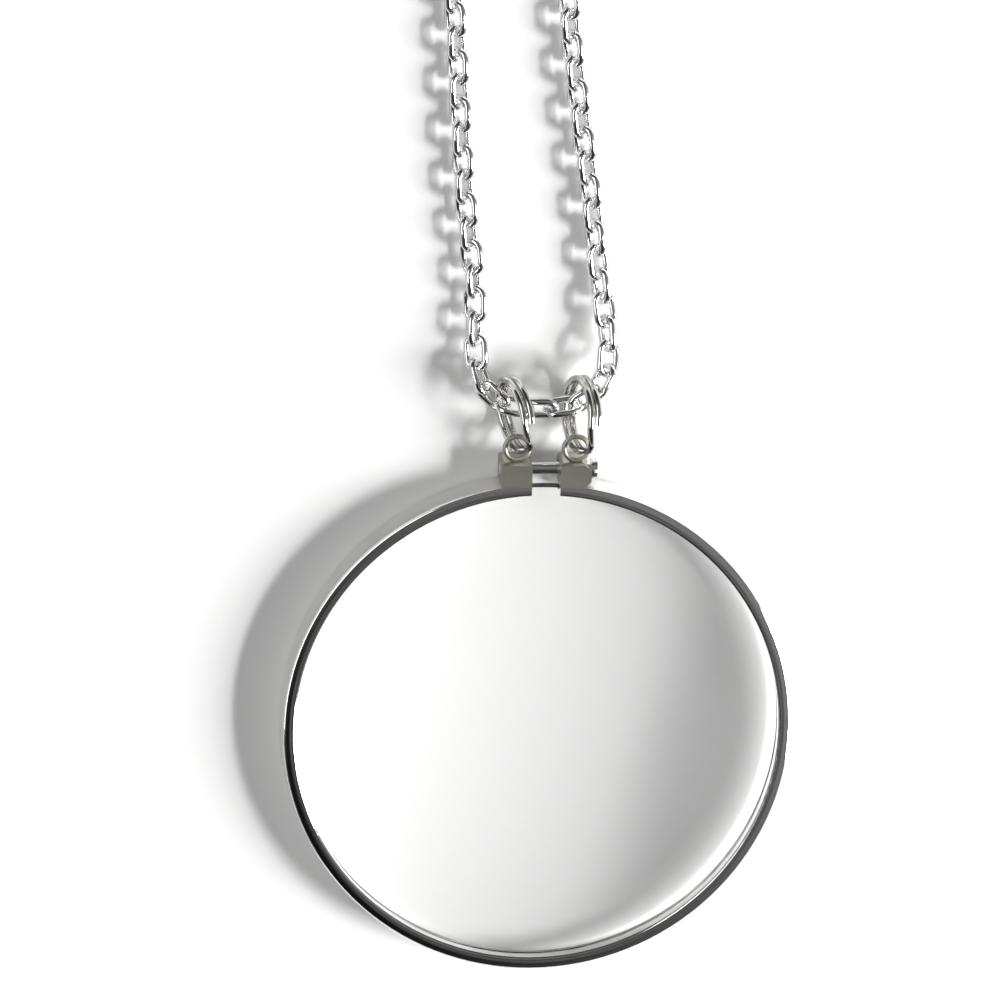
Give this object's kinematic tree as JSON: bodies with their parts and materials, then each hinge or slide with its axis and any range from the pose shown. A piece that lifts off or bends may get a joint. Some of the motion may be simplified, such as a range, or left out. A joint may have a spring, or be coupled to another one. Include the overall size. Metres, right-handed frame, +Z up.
{
  "type": "magnifier pendant necklace",
  "caption": "Round magnifying lens in a thin polished metal rim, hung by two split rings on a long chain laid out as a loop.",
  "frame": {"origin": "centre of the rim's flat underside, on the surface that the pendant lies on", "axes": "+Z up along the lens axis, +Y from the lens to the lugs and the chain, +X to the right seen from above"},
  "size_m": [0.1374, 0.3852, 0.0078],
  "materials": {
    "rim_metal": "polished",
    "lens_glass": "clear",
    "screw_metal": "turned",
    "ring_metal": "polished",
    "chain_metal": "polished",
    "clasp_metal": "polished"
  },
  "bodies": {
    "root": {"rim": "rim_metal", "lens": "lens_glass", "clamp_screw": "screw_metal", "split_ring_left": "ring_metal", "split_ring_right": "ring_metal", "chain": "chain_metal", "clasp": "clasp_metal"}
  },
  "joints": []
}
